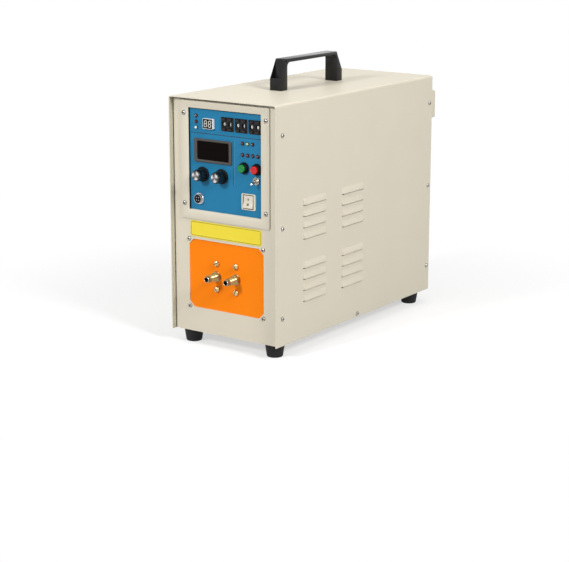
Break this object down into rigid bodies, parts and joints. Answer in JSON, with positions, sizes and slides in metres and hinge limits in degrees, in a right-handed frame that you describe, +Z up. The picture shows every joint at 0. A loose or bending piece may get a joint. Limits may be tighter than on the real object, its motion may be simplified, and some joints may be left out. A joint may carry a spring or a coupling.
{
  "type": "induction heating machine",
  "caption": "Portable induction heating machine: a tall sheet-metal cabinet with handle, control plate, louvred sides and two water-cooled output fittings.",
  "frame": {"origin": "on the floor, under the middle of the box that holds the whole machine", "axes": "+Z up, the control panel looks towards -Y, +X to the right as seen from the front"},
  "size_m": [0.231, 0.555, 0.49],
  "materials": {
    "cabinet_paint": "semi-gloss",
    "plate_blue": "satin",
    "board_orange": "satin",
    "label_yellow": "satin",
    "shelf_steel": "brushed",
    "handle_black": "glossy",
    "foot_rubber": "matte",
    "screw_steel": "satin",
    "meter_grey": "matte",
    "display_dark": "glossy",
    "timer_white": "satin",
    "lamp_red": "glossy",
    "preset_black": "satin",
    "key_brown": "satin",
    "ring_black": "glossy",
    "start_green": "glossy",
    "stop_red": "glossy",
    "knob_black": "glossy",
    "switch_chrome": "polished",
    "rocker_ivory": "satin",
    "fitting_brass": "machined",
    "core_ferrite": "matte",
    "winding_copper": "drawn copper",
    "cold_aluminium": "milled",
    "module_black": "matte",
    "capacitor_blue": "satin",
    "board_green": "satin",
    "hose_grey": "satin",
    "terminal_black": "matte"
  },
  "bodies": {
    "cabinet": {"base_pan": "cabinet_paint", "front_panel": "cabinet_paint", "rear_panel": "cabinet_paint", "cover_shell": "cabinet_paint", "control_bezel": "cabinet_paint", "control_plate": "plate_blue", "output_board": "board_orange", "label_plate": "label_yellow", "rear_hood": "cabinet_paint", "equipment_shelf": "shelf_steel", "carry_handle": "handle_black", "rubber_feet": "foot_rubber", "case_screws": "screw_steel", "mounting_screws": "screw_steel", "meter_case": "meter_grey", "meter_window": "display_dark", "timer_display": "timer_white", "indicator_lamps": "lamp_red", "preset_bodies": "preset_black", "button_rings": "ring_black", "potentiometers": "shelf_steel", "toggle_body": "switch_chrome", "rocker_frame": "rocker_ivory", "foot_switch_socket": "switch_chrome", "output_fittings": "fitting_brass", "brass_screws": "fitting_brass", "transformer_core": "core_ferrite", "transformer_winding": "winding_copper", "cold_plate": "cold_aluminium", "power_modules": "module_black", "capacitor_bank": "capacitor_blue", "control_board": "board_green", "water_nozzles": "fitting_brass", "water_hoses": "hose_grey", "terminal_block": "terminal_black", "cable_gland": "terminal_black"},
    "start_button": {"start_button": "start_green"},
    "stop_button": {"stop_button": "stop_red"},
    "left_knob": {"left_knob": "knob_black"},
    "right_knob": {"right_knob": "knob_black"},
    "toggle_lever": {"toggle_lever": "switch_chrome"},
    "power_rocker": {"power_rocker": "rocker_ivory"},
    "digit_wheel_1": {"digit_wheel_1": "preset_black"},
    "digit_wheel_2": {"digit_wheel_2": "preset_black"},
    "digit_wheel_3": {"digit_wheel_3": "preset_black"},
    "digit_wheel_4": {"digit_wheel_4": "preset_black"},
    "digit_wheel_5": {"digit_wheel_5": "preset_black"},
    "digit_wheel_6": {"digit_wheel_6": "preset_black"},
    "plus_key_1": {"plus_key_1": "key_brown"},
    "plus_key_2": {"plus_key_2": "key_brown"},
    "plus_key_3": {"plus_key_3": "key_brown"},
    "plus_key_4": {"plus_key_4": "key_brown"},
    "plus_key_5": {"plus_key_5": "key_brown"},
    "plus_key_6": {"plus_key_6": "key_brown"},
    "minus_key_1": {"minus_key_1": "key_brown"},
    "minus_key_2": {"minus_key_2": "key_brown"},
    "minus_key_3": {"minus_key_3": "key_brown"},
    "minus_key_4": {"minus_key_4": "key_brown"},
    "minus_key_5": {"minus_key_5": "key_brown"},
    "minus_key_6": {"minus_key_6": "key_brown"}
  },
  "joints": [
    {"name": "start_press", "type": "slide", "parent": "cabinet", "child": "start_button", "axis": [0, 1, 0], "range_m": [0, 0.0035], "stiffness_N_per_m": 600, "springref_m": -0.003},
    {"name": "stop_press", "type": "slide", "parent": "cabinet", "child": "stop_button", "axis": [0, 1, 0], "range_m": [0, 0.0035], "stiffness_N_per_m": 600, "springref_m": -0.003},
    {"name": "left_knob_turn", "type": "hinge", "parent": "cabinet", "child": "left_knob", "pos_m": [-0.0482, -0.247, 0.30518], "axis": [0, 1, 0], "range_deg": [-240, 60]},
    {"name": "right_knob_turn", "type": "hinge", "parent": "cabinet", "child": "right_knob", "pos_m": [-0.00765, -0.247, 0.30518], "axis": [0, 1, 0], "range_deg": [-240, 60]},
    {"name": "toggle_tilt", "type": "hinge", "parent": "cabinet", "child": "toggle_lever", "pos_m": [0.06533, -0.248, 0.3051], "axis": [-1, 0, 0], "range_deg": [0, 24]},
    {"name": "rocker_tilt", "type": "hinge", "parent": "cabinet", "child": "power_rocker", "pos_m": [0.04865, -0.247, 0.26752], "axis": [1, 0, 0], "range_deg": [0, 16]},
    {"name": "digit_1_turn", "type": "hinge", "parent": "cabinet", "child": "digit_wheel_1", "pos_m": [-0.0015, -0.2371, 0.39512], "axis": [1, 0, 0], "continuous": true},
    {"name": "digit_2_turn", "type": "hinge", "parent": "cabinet", "child": "digit_wheel_2", "pos_m": [0.0112, -0.2371, 0.39512], "axis": [1, 0, 0], "continuous": true},
    {"name": "digit_3_turn", "type": "hinge", "parent": "cabinet", "child": "digit_wheel_3", "pos_m": [0.027, -0.2371, 0.39512], "axis": [1, 0, 0], "continuous": true},
    {"name": "digit_4_turn", "type": "hinge", "parent": "cabinet", "child": "digit_wheel_4", "pos_m": [0.0397, -0.2371, 0.39512], "axis": [1, 0, 0], "continuous": true},
    {"name": "digit_5_turn", "type": "hinge", "parent": "cabinet", "child": "digit_wheel_5", "pos_m": [0.0555, -0.2371, 0.39512], "axis": [1, 0, 0], "continuous": true},
    {"name": "digit_6_turn", "type": "hinge", "parent": "cabinet", "child": "digit_wheel_6", "pos_m": [0.0682, -0.2371, 0.39512], "axis": [1, 0, 0], "continuous": true},
    {"name": "plus_1_press", "type": "slide", "parent": "cabinet", "child": "plus_key_1", "axis": [0, 1, 0], "range_m": [0, 0.0016], "stiffness_N_per_m": 400, "springref_m": -0.002},
    {"name": "minus_1_press", "type": "slide", "parent": "cabinet", "child": "minus_key_1", "axis": [0, 1, 0], "range_m": [0, 0.0016], "stiffness_N_per_m": 400, "springref_m": -0.002},
    {"name": "plus_2_press", "type": "slide", "parent": "cabinet", "child": "plus_key_2", "axis": [0, 1, 0], "range_m": [0, 0.0016], "stiffness_N_per_m": 400, "springref_m": -0.002},
    {"name": "minus_2_press", "type": "slide", "parent": "cabinet", "child": "minus_key_2", "axis": [0, 1, 0], "range_m": [0, 0.0016], "stiffness_N_per_m": 400, "springref_m": -0.002},
    {"name": "plus_3_press", "type": "slide", "parent": "cabinet", "child": "plus_key_3", "axis": [0, 1, 0], "range_m": [0, 0.0016], "stiffness_N_per_m": 400, "springref_m": -0.002},
    {"name": "minus_3_press", "type": "slide", "parent": "cabinet", "child": "minus_key_3", "axis": [0, 1, 0], "range_m": [0, 0.0016], "stiffness_N_per_m": 400, "springref_m": -0.002},
    {"name": "plus_4_press", "type": "slide", "parent": "cabinet", "child": "plus_key_4", "axis": [0, 1, 0], "range_m": [0, 0.0016], "stiffness_N_per_m": 400, "springref_m": -0.002},
    {"name": "minus_4_press", "type": "slide", "parent": "cabinet", "child": "minus_key_4", "axis": [0, 1, 0], "range_m": [0, 0.0016], "stiffness_N_per_m": 400, "springref_m": -0.002},
    {"name": "plus_5_press", "type": "slide", "parent": "cabinet", "child": "plus_key_5", "axis": [0, 1, 0], "range_m": [0, 0.0016], "stiffness_N_per_m": 400, "springref_m": -0.002},
    {"name": "minus_5_press", "type": "slide", "parent": "cabinet", "child": "minus_key_5", "axis": [0, 1, 0], "range_m": [0, 0.0016], "stiffness_N_per_m": 400, "springref_m": -0.002},
    {"name": "plus_6_press", "type": "slide", "parent": "cabinet", "child": "plus_key_6", "axis": [0, 1, 0], "range_m": [0, 0.0016], "stiffness_N_per_m": 400, "springref_m": -0.002},
    {"name": "minus_6_press", "type": "slide", "parent": "cabinet", "child": "minus_key_6", "axis": [0, 1, 0], "range_m": [0, 0.0016], "stiffness_N_per_m": 400, "springref_m": -0.002}
  ]
}
